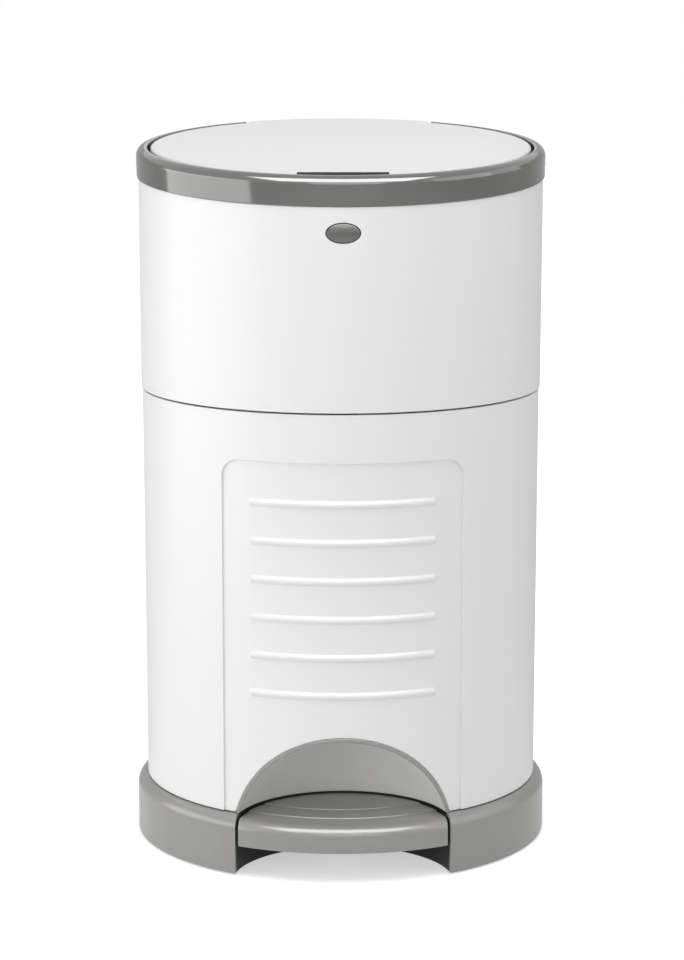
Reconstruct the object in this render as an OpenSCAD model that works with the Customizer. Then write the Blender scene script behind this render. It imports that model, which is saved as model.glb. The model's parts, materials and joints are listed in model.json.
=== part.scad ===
// Pedal nappy bin: a tall round bin with a tilting top section, a trap-door hopper,
// a refill deck, a pedal linkage and a tilted rim with a flip lid.
// Units are millimetres. Front is -Y, +X is right, +Z is up, z = 0 is the floor.

/* [Body] */
// Outer radius of the lower body at its foot
body_r = 120; // [112:1:124]
// Wall of the two white shells
shell_wall = 2.4; // [1.8:0.1:2.6]
// Height of the joint between the lower body and the top section
seam_z = 277; // [272:1:282]
// Height of the top section, from the joint to the rim on the bin's axis
top_h = 127.9; // [120:0.1:136]
// Slope of the rim and lid, front edge lower
tilt = 4.76; // [3:0.01:5]
// How far the base stands out from the body
base_flare = 6; // [5:0.5:8]

/* [Front panel] */
// How deep the front panel is let into the lower body
panel_depth = 1.2; // [0.4:0.1:1.4]
// Half width of the front panel
panel_half = 70; // [64:1:76]
// Height of the panel's top edge above the floor
panel_top = 248; // [238:1:254]
// Number of raised bars on the panel
rib_count = 6; // [2:1:6]
// Distance between neighbouring bars
rib_pitch = 22.6; // [14:0.2:22.6]
// Half length of each bar
rib_half = 54; // [30:1:58]
// How far each bar stands out of the panel
rib_proud = 1.4; // [0.6:0.1:1.8]

/* [Pedal] */
// Radius of the notch that the pedal moves in
notch_r = 64.4; // [60:0.2:66]
// Height of the pedal's front edge above the floor
pedal_z0 = 18.5; // [18.5:0.5:22]
// Radius of the rounded front edge of the pedal
pedal_fillet = 6; // [3:0.5:7]
// Height of each of the two low steps on the pedal
pedal_step = 0.6; // [0.2:0.1:0.6]

/* [Lid and button] */
// Half width of the finger notch at the front of the lid
notch_half = 26; // [18:1:30]
// Half width of the button
button_half = 9.5; // [7:0.5:9.5]
// Half height of the button
button_rise = 5.4; // [4:0.2:5.4]

/* [Hopper and refill] */
// Radius of the throat that the two flaps close
throat_r = 61; // [56:1:64]
// Width of the ring of folded film, between the walls of the refill
refill_w = 15; // [13:0.5:19]

/* [Output] */
// Which node to build, or all

/* [Hidden] */
$fn = 96;
fine = 144;           // facets of the large round walls
fit = 0.2;            // clearance between two mouldings
// radii that follow the body's
base_r = body_r + base_flare;
low_in = body_r - shell_wall;           // inner wall of the lower body
top_r = body_r + 1.3;                   // foot of the upper body
up_in = top_r - shell_wall;             // inner wall of the upper body
rim_r = body_r + 2.8;
lid_r = rim_r - 8.6;
lid_in_r = rim_r - 14.3;
collar_r = low_in - 0.6;                // collar of the base, inside the lower body
collar_in = collar_r - 2.4;
plate_r = collar_in - fit;
mouth_r = body_r - 33.275;              // hopper mouth, at the height of the rim
// heights that follow the joint's
base_h = 36;          // shoulder of the base
collar_h = 8;         // how far its collar reaches into the lower body
plate_z = 38;         // underside of the base plate
plate_t = 2.5;
plate_top = plate_z + plate_t;
rim_z = seam_z + top_h;
rim_h = 17.3;         // height of the rim, square to its slope
rim_round = 5;
deck_z = seam_z - 8.4;
deck_t = 2.4;
throat_z = seam_z + 25;
throat_h = 5.6;       // straight part of the throat
button_z = rim_z - 24.9;
pedal_top = 34;
// pedal notch and toe recess
notch_c = [0, -body_r];
scoop_r = notch_r + 1.9;
scoop_t = 2.4;
scoop_z = 17.3;       // height of the toe recess's centre
pedal_r = notch_r - 1.9;
// axes, as y and z
hinge = [body_r + 2, seam_z];           // the top section tilts on it
notch_back = notch_c[1] + notch_r;
pivot = [notch_back + 35.6, 16];        // the pedal turns on it
lid_c = [body_r - 8, 11.3];             // the lid's axis, in the rim's own frame
latch = [11.5 - body_r, seam_z + 53];
lid_y = lid_c[0] * cos(tilt) - lid_c[1] * sin(tilt);
lid_z = rim_z + lid_c[0] * sin(tilt) + lid_c[1] * cos(tilt);
crank_r = 12.4;
crank_a = 40;         // how far the crank's pin hangs below the lid's axis
// rods
rod_y = body_r - 19.5;
rod_r = 4;
rod_gap = 0.4;        // between the two rods at the joint
pin_r = 1.5;
pin_fit = 0.06;
// the refill's cup clears the rod
cup_t = 2.4;
cup_r = rod_y - rod_r - cup_t - 1.1;
refill_out = cup_r - 1;
refill_r = refill_out - refill_w;
// flaps
flap_t = 2.5;
flap_r = throat_r - 3;
flap_x = throat_r - 4;
flap_z = seam_z + 21.25;
flap_pin_r = 1.2;
tongue_half = 57;     // half width of the lid's hinge tongue
// colours
white = [0.86, 0.86, 0.855];
grey = [0.52, 0.515, 0.49];
dark = [0.03, 0.03, 0.03];
steel = [0.62, 0.63, 0.64];

// ---------- helpers ----------
module rim_frame() { translate([0, 0, rim_z]) rotate([tilt, 0, 0]) children(); }
module ring(ro, ri, z0, z1) {
  translate([0, 0, z0]) difference() {
    cylinder(r = ro, h = z1 - z0, $fn = fine);
    translate([0, 0, -1]) cylinder(r = ri, h = z1 - z0 + 2, $fn = fine);
  }
}
module at_notch() { translate([notch_c[0], notch_c[1], 0]) children(); }
// A rod along X from x0 to x1, and one along Y from y0 to y1
module xrod(r, x0, x1, y, z) {
  translate([x0, y, z]) rotate([0, 90, 0]) cylinder(r = r, h = x1 - x0, $fn = 48);
}
module yrod(r, y0, y1, x, z) {
  translate([x, y1, z]) rotate([90, 0, 0]) cylinder(r = r, h = y1 - y0, $fn = 48);
}
module box(x0, x1, y0, y1, z0, z1) { translate([x0, y0, z0]) cube([x1 - x0, y1 - y0, z1 - z0]); }
// The same box or rod on both sides of the middle
module boxes(x0, x1, y0, y1, z0, z1) {
  box(x0, x1, y0, y1, z0, z1);
  box(-x1, -x0, y0, y1, z0, z1);
}
module xrods(r, x0, x1, y, z) {
  xrod(r, x0, x1, y, z);
  xrod(r, -x1, -x0, y, z);
}
function arc(cx, cy, r, a0, a1, n = 12) =
  [for (i = [0:n]) let (a = a0 + (a1 - a0) * i / n) [cx + r * cos(a), cy + r * sin(a)]];
function oval(a, b, n = 64) = [for (i = [0:n - 1]) [a * cos(360 * i / n), b * sin(360 * i / n)]];
// A round wire along a list of points, with rings that are carried along without twist
function unit(v) = v / norm(v);
function square_to(u, t) = unit(u - (u * t) * t);
module wire(pts, r, n = 6, up = [0, 0, 1]) {
  m = len(pts);
  ts = [for (i = [0:m - 1]) unit(pts[min(i + 1, m - 1)] - pts[max(i - 1, 0)])];
  us = [for (i = 0, u = square_to(up, ts[0]); i < m; i = i + 1, u = square_to(u, ts[min(i, m - 1)])) u];
  ends = [[for (k = [n - 1:-1:0]) k], [for (k = [0:n - 1]) (m - 1) * n + k]];
  polyhedron(
    points = [for (i = [0:m - 1]) for (k = [0:n - 1])
      pts[i] + r * (cos(360 * k / n) * us[i] + sin(360 * k / n) * cross(us[i], ts[i]))],
    faces = concat(ends, [for (i = [0:m - 2]) for (k = [0:n - 1])
      let (a = i * n + k, b = i * n + (k + 1) % n) each [[a, b, b + n], [a, b + n, a + n]]]),
    convexity = 8);
}

// ---------- base and pedal ----------
foot_a = [20, 64, 116, 160, -152, -28];
foot_h = 2.5;
foot_r = 6.5;
post_r = 8;
base_wall = 3;
base_round = 7.5;
post_at = base_r - 10.5;        // centre of each foot and its post
screw_at = plate_r - 3.5;       // the screws stand further in, through the plate
screw_r = 1.6;
module at_posts() { for (a = foot_a) rotate(a) translate([post_at, 0, 0]) children(); }
module at_screws() { for (a = foot_a) rotate(a) translate([screw_at, 0, 0]) children(); }
module base_ring() color(grey) {
  difference() {
    union() {
      rotate_extrude($fn = fine) polygon(concat([[base_r - base_wall, 1], [base_r, 1]],
        arc(base_r - base_round, base_h - base_round, base_round, 0, 90, 16),
        [[collar_r, base_h], [collar_r, base_h + collar_h], [collar_in, base_h + collar_h],
         [collar_in, base_h - base_wall], [base_r - base_round, base_h - base_wall]],
        arc(base_r - base_round, base_h - base_round, base_round - base_wall, 90, 0, 12)));
      intersection() {
        at_posts() translate([0, 0, foot_h]) cylinder(r = post_r, h = base_h - foot_h, $fn = 48);
        translate([0, 0, -1]) cylinder(r = base_r - 2, h = base_h - 4, $fn = fine);
      }
      intersection() {
        at_posts() translate([0, 0, base_h - 6]) cylinder(r = post_r, h = plate_z - base_h + 6, $fn = 48);
        translate([0, 0, base_h - 7]) cylinder(r = collar_r, h = 12, $fn = fine);
      }
    }
    at_notch() translate([0, 0, -1]) cylinder(r = notch_r, h = 60);
    intersection() {
      at_notch() translate([0, 0, -1]) cylinder(r = scoop_r + scoop_t, h = 60);
      translate([0, 0, -2]) cylinder(r = collar_r + 0.35, h = 80, $fn = fine);
    }
    at_screws() translate([0, 0, plate_z - 10]) cylinder(r = screw_r, h = 12, $fn = 32);
  }
}
module rubber_feet() color(dark) at_posts() cylinder(r = foot_r, h = foot_h, $fn = 48);
// The plate closes the base, holds the pedal's pin and lines the notch with a black wall
liner_r = notch_r + fit;
liner_t = 2.6;
module base_plate() color(dark) {
  difference() {
    union() {
      difference() {
        translate([0, 0, plate_z]) cylinder(r = plate_r, h = plate_t, $fn = fine);
        at_notch() translate([0, 0, plate_z - 8]) cylinder(r = scoop_r + 0.3, h = 20);
      }
      intersection() {
        at_notch() ring(scoop_r + 2.2, scoop_r, plate_z - 8, plate_top);
        cylinder(r = plate_r, h = 60, $fn = fine);
      }
      intersection() {
        at_notch() ring(liner_r + liner_t, liner_r, 1, base_h + 0.2);
        cylinder(r = collar_r + fit, h = 60, $fn = fine);
      }
      intersection() {
        at_notch() ring(liner_r + liner_t, liner_r, 1, 28);
        cylinder(r = base_r - base_wall - 0.1, h = 60, $fn = fine);
      }
      boxes(8, 11, pivot[0] - 8, pivot[0] + 8, pivot[1], plate_z + fit);
      xrods(8, 8, 11, pivot[0], pivot[1]);
    }
    box(-lever_half - 1.6, lever_half + 1.6, notch_back - 4.4, notch_back + 7.6, lever_z - 7, pedal_z0 + 2);
    xrod(3, -20, 20, pivot[0], pivot[1]);
    translate([0, rod_y, 30]) cylinder(r = rod_r + 0.6, h = 20, $fn = 48);
    at_screws() translate([0, 0, plate_z - 8]) cylinder(r = screw_r, h = 12, $fn = 32);
  }
}
module base_screws() color(steel) at_screws() {
  translate([0, 0, plate_z - 9]) cylinder(r = screw_r, h = 12, $fn = 32);
  translate([0, 0, plate_top]) cylinder(r = 2 * screw_r, h = 2, $fn = 32);
}
module toe_recess() color(grey) intersection() {
  difference() {
    at_notch() translate([0, 0, scoop_z]) sphere(r = scoop_r + scoop_t, $fn = 128);
    at_notch() translate([0, 0, scoop_z]) sphere(r = scoop_r, $fn = 128);
  }
  translate([0, 0, base_h + fit]) cylinder(r = body_r - 0.5, h = 60, $fn = fine);
}
pedal_wall = 2.6;
function pedal_edge(d) = concat([[40, pedal_z0 - 1], [base_r - d, pedal_z0 - 1]],
  arc(base_r - pedal_fillet, pedal_top - pedal_fillet, pedal_fillet - d, 0, 90, 12), [[40, pedal_top - d]]);
module pedal_plan(d) { at_notch() translate([0, 0, pedal_z0]) cylinder(r = pedal_r - d, h = 40); }
// A low step on the pedal, out to radius r, with its edge rounded
module pedal_tread(r, rise) rotate_extrude($fn = fine)
  polygon(concat([[40, pedal_top - 1], [r, pedal_top - 1]],
    arc(r - pedal_step, pedal_top + rise - pedal_step, pedal_step, 0, 90, 4), [[40, pedal_top + rise]]));
module at_pedal_screws() {
  for (y = [pivot[0] - 62, pivot[0] - 47]) for (s = [-1, 1]) translate([4.5 * s, y, 0]) children();
}
module pedal() color(grey) {
  difference() {
    union() {
      intersection() {
        rotate_extrude($fn = fine) polygon(pedal_edge(0));
        pedal_plan(0);
      }
      intersection() {
        union() {
          pedal_tread(base_r - 19, pedal_step);
          pedal_tread(base_r - 35, 2 * pedal_step);
        }
        pedal_plan(0);
      }
    }
    intersection() {
      rotate_extrude($fn = fine) polygon(pedal_edge(pedal_wall));
      at_notch() translate([0, 0, pedal_z0 - 2]) cylinder(r = pedal_r - pedal_wall, h = 40);
    }
  }
  difference() {
    boxes(2, 7, pivot[0] - 68, pivot[0] - 40.5, pedal_z0, pedal_top - 2.4);
    at_pedal_screws() translate([0, 0, 10]) cylinder(r = 1.2, h = 17, $fn = 24);
  }
}
// The lever runs under the base plate, from the pedal to the foot of the push rod
lever_half = 7;
lever_z = pedal_z0 - 5;
module pedal_lever() color(steel) {
  difference() {
    union() {
      box(-lever_half, lever_half, pivot[0] - 72, rod_y + 3.5, lever_z, pedal_z0);
      xrod(lever_half, -lever_half, lever_half, pivot[0], pivot[1]);
    }
    xrod(3 + pin_fit, -20, 20, pivot[0], pivot[1]);
    at_pedal_screws() translate([0, 0, 10]) cylinder(r = 1.2, h = 17, $fn = 24);
  }
}
module pedal_screws() color(steel) at_pedal_screws() {
  translate([0, 0, lever_z - 1.5]) cylinder(r = 2.4, h = 1.5, $fn = 24);
  translate([0, 0, lever_z - 0.1]) cylinder(r = 1.2, h = 13, $fn = 24);
}
module pedal_pin() color(steel) xrod(3, -12.5, 12.5, pivot[0], pivot[1]);
spring_turns = 6;
spring_wire = 0.8;
module pedal_spring() color(steel) {
  n = spring_turns * 14;
  lo = pedal_z0 + spring_wire;
  hi = plate_z - spring_wire;
  translate([0, 40, 0]) wire([for (i = [0:n])
    [6 * cos(360 * i / 14), 6 * sin(360 * i / 14), lo + (hi - lo) * i / n]], spring_wire, 6);
}
module lower_push_rod() color(grey) translate([0, rod_y, pedal_z0 + rod_r + 0.1]) {
  cylinder(r = rod_r, h = seam_z - rod_gap / 2 - pedal_z0 - rod_r - 0.1, $fn = 48);
  sphere(r = rod_r, $fn = 48);
}
module rod_channel() color(dark) intersection() {
  top = deck_z - 40.6;
  difference() {
    union() {
      box(-9, 9, rod_y - 8, rod_y - 6, plate_top, top);
      boxes(7, 9, rod_y - 8, body_r - 2, plate_top, top);
      box(-8, 8, rod_y - 7.5, rod_y + 7.5, 60, 66);
      box(-8, 8, rod_y - 7.5, rod_y + 7.5, top - 8, top - 2);
    }
    translate([0, rod_y, 30]) cylinder(r = rod_r + 0.07, h = top, $fn = 48);
  }
  difference() {
    cylinder(r = low_in, h = 300, $fn = fine);
    translate([0, 0, base_h - 6]) ring(body_r + 10, plate_r, 0, collar_h + 6.2);
  }
}

// ---------- lower body and refill ----------
body_taper = 0.6;               // the lower body opens by this much from foot to top
low_top = seam_z - 0.6;
function out_r(z) = body_r + body_taper * (z - base_h) / (low_top - base_h);
module low_cone(d, z0 = base_h, z1 = low_top) {
  translate([0, 0, z0]) cylinder(r1 = out_r(z0) + d, r2 = out_r(z1) + d, h = z1 - z0, $fn = fine);
}
panel_round = 10;
module panel_prism() rotate([90, 0, 0]) linear_extrude(height = body_r + 20) {
  polygon(concat([[-panel_half, 20], [panel_half, 20]],
    arc(panel_half - panel_round, panel_top - panel_round, panel_round, 0, 90, 10),
    arc(panel_round - panel_half, panel_top - panel_round, panel_round, 90, 180, 10)));
}
rib_r = 2.4;
module rib(z) {
  r = out_r(z) - panel_depth + rib_proud - rib_r;
  end = rib_half - rib_r - fit;
  intersection() {
    translate([0, 0, z]) rotate_extrude($fn = fine) union() {
      translate([r, 0]) circle(r = rib_r, $fn = 32);
      translate([r - 3, -rib_r]) square([3, 2 * rib_r]);
    }
    rotate([90, 0, 0]) linear_extrude(height = body_r + 20) {
      translate([-end, z]) circle(r = rib_r + fit, $fn = 32);
      translate([end, z]) circle(r = rib_r + fit, $fn = 32);
      translate([-end, z - rib_r - fit]) square([2 * end, 2 * (rib_r + fit)]);
    }
  }
}
// Knuckles of the tilt hinge: two on the lower body fill the gaps between three on the upper
knuckle_r = 4;
knuckle_a = 8.0;
knuckle_b = 16.1;
knuckle_c = 24.2;
module lower_body() color(white) {
  difference() {
    union() {
      difference() {
        low_cone(0);
        intersection() {
          difference() {
            low_cone(5, 30, seam_z - 7);
            low_cone(-panel_depth, 29, seam_z - 6);
          }
          panel_prism();
        }
      }
      for (i = [0:rib_count - 1]) rib(panel_top - 24 - i * rib_pitch);
      boxes(knuckle_a + fit, knuckle_b - fit, body_r - 8, hinge[0], seam_z - 11, hinge[1]);
      xrods(knuckle_r, knuckle_a + fit, knuckle_b - fit, hinge[0], hinge[1]);
    }
    translate([0, 0, 20]) cylinder(r = low_in, h = seam_z - 7, $fn = fine);
    at_notch() translate([0, 0, scoop_z]) sphere(r = scoop_r + scoop_t + fit, $fn = 128);
    box(-knuckle_a, knuckle_a, body_r - 10, body_r + 10, seam_z - 5.4, seam_z + 13);
    boxes(knuckle_b, knuckle_c + fit, body_r - 10, body_r + 10, seam_z - 5.4, seam_z + 13);
    xrod(pin_r, -30, 30, hinge[0], hinge[1]);
  }
  // ledge that the refill deck lies on, open at the front for the latch
  difference() {
    rotate_extrude($fn = fine) polygon([[low_in + 0.1, deck_z - 9.6], [low_in + 0.1, deck_z],
      [low_in - 3, deck_z], [low_in - 3, deck_z - 5.6]]);
    box(-13, 13, -body_r, 20 - body_r, deck_z - 20, deck_z + 10);
  }
}
// The deck carries the refill in a cup that hangs under it
cup_z = deck_z - 39;
refill_z = cup_z + cup_t;
module refill_deck() color(grey) difference() {
  union() {
    ring(low_in, cup_r, deck_z, deck_z + deck_t);
    ring(cup_r + cup_t, cup_r, cup_z, deck_z + deck_t);
    ring(cup_r + cup_t, refill_r + 7, cup_z, refill_z);
  }
  translate([0, rod_y, deck_z - 20]) cylinder(r = rod_r + 0.4, h = 40, $fn = 48);
  box(-10, 10, latch[0] - 6, latch[0] + 3, deck_z - 8.6, deck_z + 11.4);
  box(-knuckle_a, knuckle_a, body_r - 10, body_r + 10, deck_z - 8.6, deck_z + 21.4);
}
refill_wall = 1.6;
module refill_cassette() color([0.35, 0.55, 0.62]) {
  ring(refill_out, refill_out - refill_wall, refill_z, refill_z + 38);
  ring(refill_r + refill_wall, refill_r, refill_z, refill_z + 36);
  ring(refill_out - 1, refill_r + 1, refill_z, refill_z + refill_wall);
}
// Film folded into ten pleats between the two walls of the refill
module film_pack() color([0.9, 0.92, 0.93]) {
  in = refill_r + refill_wall + 0.6;
  out = refill_out - refill_wall - fit;
  z = refill_z + refill_wall;
  rotate_extrude($fn = 96) polygon(concat([[in, z], [out - 0.4, z]],
    [for (i = [0:9]) each [[out, z + 1.4 + i * 2.8], [out - 1.6, z + 2.8 + i * 2.8]]],
    [[refill_r + 9, z + 29.4], [in, z + 29.4]]));
}
// The film leaves the pack over the inner wall and hangs as a closed bag
module liner_bag() color([0.92, 0.94, 0.95]) {
  z = refill_z;
  bag_t = 0.5;
  rotate_extrude($fn = 96) polygon([[refill_r + 6, z + 31], [refill_r + 6, z + 36.8],
    [refill_r - 0.8, z + 36.8], [refill_r - 0.8, z - 1], [refill_r + 5, z - 32], [refill_r + 1, 110],
    [refill_r - 27, 56], [0, 52], [0, 52 - bag_t], [refill_r - 26.7, 55.5], [refill_r + 1.4, 109.9],
    [refill_r + 5.5, z - 32], [refill_r - 0.3, z - 0.8], [refill_r - 0.3, z + 36.3],
    [refill_r + 5.5, z + 36.3], [refill_r + 5.5, z + 31]]);
}
cutter_x = cup_r + cup_t + 1.6;
cutter_z = deck_z + deck_t;
module cutter_holder() color(white) difference() {
  box(cutter_x, cutter_x + 14, -13, 13, cutter_z, cutter_z + 8);
  box(cutter_x + 5, cutter_x + 9, -14, 14, cutter_z + 3.5, cutter_z + 9);
  box(cutter_x + 4, cutter_x + 10, -10.2, 10.2, cutter_z + 2, cutter_z + 3.5);
}
module cutter_blade() color(steel)
  box(cutter_x + 4, cutter_x + 10, -10.2, 10.2, cutter_z + 2, cutter_z + 2.8);
module top_hinge_pin() color(steel) xrod(pin_r, -24, 24, hinge[0], hinge[1]);

// ---------- top section ----------
module above_rim(z = 0) rim_frame() translate([-200, -200, z]) cube([400, 400, 200]);
// Room for the lid's tongue to swing in, widest at the middle of the bin's round back
module tongue_pocket() rim_frame()
  for (p = [[15, 11.5], [30, 10.6], [42, 8.2], [tongue_half + 1.5, 6.8]])
    xrod(p[1], -p[0], p[0], lid_c[0], lid_c[1]);
ear_a = 8.4;
ear_b = 11;
module upper_body() color(white) {
  difference() {
    union() {
      translate([0, 0, seam_z + 0.4]) cylinder(r1 = top_r, r2 = top_r + 0.55, h = top_h + 17.1, $fn = fine);
      box(fit - knuckle_a, knuckle_a - fit, body_r - 8, hinge[0], hinge[1], seam_z + 12);
      boxes(knuckle_b + fit, knuckle_c - fit, body_r - 8, hinge[0], hinge[1], seam_z + 12);
      xrod(knuckle_r, fit - knuckle_a, knuckle_a - fit, hinge[0], hinge[1]);
      xrods(knuckle_r, knuckle_b + fit, knuckle_c - fit, hinge[0], hinge[1]);
    }
    translate([0, 0, seam_z - 7]) cylinder(r = up_in, h = top_h + 80, $fn = fine);
    above_rim();
    translate([0, 20 - body_r, button_z]) rotate([90, 0, 0])
      linear_extrude(height = 30) polygon(oval(button_half + 0.5, button_rise + 0.5));
    boxes(knuckle_a, knuckle_b, body_r - 15, body_r + 10, seam_z - 7, seam_z + 5);
    xrod(pin_r + pin_fit, -30, 30, hinge[0], hinge[1]);
    tongue_pocket();
  }
  difference() {
    union() {
      boxes(ear_a, ear_b, 0.4 - body_r, latch[0], latch[1] - 7, latch[1] + 7);
      xrods(6, ear_a, ear_b, latch[0], latch[1]);
    }
    xrod(pin_r, -20, 20, latch[0], latch[1]);
  }
}
// The hopper's cone opens from the throat to its mouth at the rim
hopper_t = 2.2;
hopper_slope = (mouth_r - throat_r) / (rim_z - throat_z);
module cone_out(d) {
  h = top_h + 2.1;
  translate([0, 0, throat_z])
    cylinder(r1 = throat_r + d, r2 = throat_r + d + hopper_slope * h, h = h, $fn = 128);
}
hopper_a = [-62, -118, -15, 195, 42, 138];
module at_hopper_screws() rim_frame() for (a = hopper_a) rotate(a) translate([rim_r - 10.8, 0, 0]) children();
module hopper() color(grey) {
  difference() {
    union() {
      difference() {
        union() {
          cone_out(hopper_t);
          ring(throat_r + hopper_t, throat_r - 11, throat_z - throat_h, throat_z);
        }
        above_rim(2);
      }
      rim_frame() translate([0, 0, 1]) cylinder(r = rim_r - 8.8, h = 2.5, $fn = 128);
    }
    cone_out(0);
    translate([0, 0, throat_z - 12]) cylinder(r = throat_r, h = 13, $fn = 128);
    rim_frame() box(-38, 38, lid_c[0] - 19.5, rim_r + 8, -2, 10);
    at_hopper_screws() cylinder(r = 1.5, h = 8, $fn = 24);
  }
  difference() {
    intersection() {
      union() for (s = [-1, 1]) for (y = [10, -13]) {
        yrod(2.6, y, y + 3, s * flap_x, flap_z);
        box(min(s * flap_x, s * (throat_r + 3)), max(s * flap_x, s * (throat_r + 3)), y, y + 3,
          flap_z - 2.6, flap_z + 2.6);
      }
      translate([0, 0, throat_z - 12]) cylinder(r = throat_r + 1, h = 20, $fn = 128);
    }
    for (s = [-1, 1]) yrod(flap_pin_r, -20, 20, s * flap_x, flap_z);
  }
}
module hopper_screws() color(steel) at_hopper_screws() {
  translate([0, 0, -0.6]) cylinder(r = 2.2, h = 1.6, $fn = 24);
  translate([0, 0, 0.9]) cylinder(r = 1.5, h = 4.5, $fn = 24);
}
module flap(s) color(grey) {
  low = flap_z - 8.25;
  high = flap_z + 11.75;
  x0 = min(s * (flap_x - 3.4), s * (flap_x + 3));
  x1 = max(s * (flap_x - 3.4), s * (flap_x + 3));
  difference() {
    intersection() {
      translate([0, 0, flap_z - flap_t / 2]) cylinder(r = flap_r, h = flap_t, $fn = 128);
      box(s > 0 ? 0.5 : -flap_r - 12, s > 0 ? flap_r + 12 : -0.5, -70, 70, low, high);
    }
    // room for the hopper's two lugs and for the spring
    for (y = [[9.7, 13.3], [-13.3, -9.7], [-10, -3.8]]) box(x0, x1, y[0], y[1], low, high);
    yrod(flap_pin_r + pin_fit, -20, 20, s * flap_x, flap_z);
  }
  difference() {
    yrod(2.5, -3.8, 9.7, s * flap_x, flap_z);
    yrod(flap_pin_r + pin_fit, -20, 20, s * flap_x, flap_z);
  }
}
module flap_left() { flap(-1); }
module flap_right() { flap(1); }
module flap_pins() color(steel) for (s = [-1, 1]) yrod(flap_pin_r, -13, 13, s * flap_x, flap_z);
module flap_spring(s) color(steel) {
  n = 5 * 10;
  coil_r = flap_pin_r + 0.8;
  translate([s * flap_x, 0, flap_z]) wire(concat(
    [for (i = [0:n]) [s * coil_r * cos(270 - 36 * i), -9.2 + 5 * i / n, coil_r * sin(270 - 36 * i)]],
    [[-s * 3, -4.15, -1.9], [-s * 6, -4.15, -1.66], [-s * 14, -4.15, -1.66]]), 0.35, 6, [0, 1, 0.01]);
}
module flap_spring_left() { flap_spring(-1); }
module flap_spring_right() { flap_spring(1); }
module upper_push_rod() color(grey) translate([0, rod_y, 0]) {
  translate([0, 0, seam_z + rod_gap / 2]) cylinder(r = rod_r, h = top_h + 10.1, $fn = 48);
  translate([0, 0, rim_z - 24.8]) cylinder(r = rod_r + 1.5, h = 2.4, $fn = 48);
}
module hinge_bracket() color(grey) {
  z = rim_z - 30.9;
  difference() {
    intersection() {
      union() {
        box(-35, 35, body_r - 12, body_r, z, z + 28);
        box(-9, 9, rod_y - 7, rod_y + 9.5, z, z + 6);
        box(-9, 9, rod_y - 7, rod_y + 9.5, z + 26, z + 29);
        boxes(27, 33, body_r - 17.5, body_r - 11.5, z + 14, lid_z);
        boxes(27, 33, body_r - 17.5, body_r - 8, z + 14, z + 28);
        xrods(3.2, 27, 33, lid_y, lid_z);
        boxes(27, 33, body_r - 15, lid_y, lid_z - 2.4, lid_z);
      }
      cylinder(r = up_in, h = 500, $fn = fine);
    }
    translate([0, rod_y, 300]) cylinder(r = rod_r + 0.07, h = 200, $fn = 48);
    xrod(pin_r, -40, 40, lid_y, lid_z);
  }
}
seat_r = rim_r - 6.8;           // the lid drops in here
module rim_ring() color(grey) difference() {
  rim_frame() difference() {
    rotate_extrude($fn = fine) polygon(concat([[rim_r - 2.9, 0], [rim_r, 0]],
      arc(rim_r - rim_round, rim_h - rim_round, rim_round, 0, 90, 12),
      [[seat_r + 0.6, rim_h], [seat_r, rim_h - 0.6], [seat_r, 6], [seat_r - 6, 6], [seat_r - 6, 3.5],
       [rim_r - 4.6, 3.5], [rim_r - 4.6, 14], [rim_r - 2.9, 12.6]]));
    box(-tongue_half - 1.5, tongue_half + 1.5, 60, rim_r + 7, 9, 30);
    box(-tongue_half - 1.5, tongue_half + 1.5, 60, seat_r + fit, 3, 30);
    for (a = hopper_a) rotate(a) translate([rim_r - 10.8, 0, 0]) cylinder(r = 1.5, h = 5.4, $fn = 24);
  }
  tongue_pocket();
}
module lid_seal() color(dark) rim_frame() difference() {
  ring(seat_r, seat_r - 5.7, 6, 9.2);
  box(-tongue_half - 1.5, tongue_half + 1.5, 60, rim_r + 7, 0, 30);
}

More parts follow.
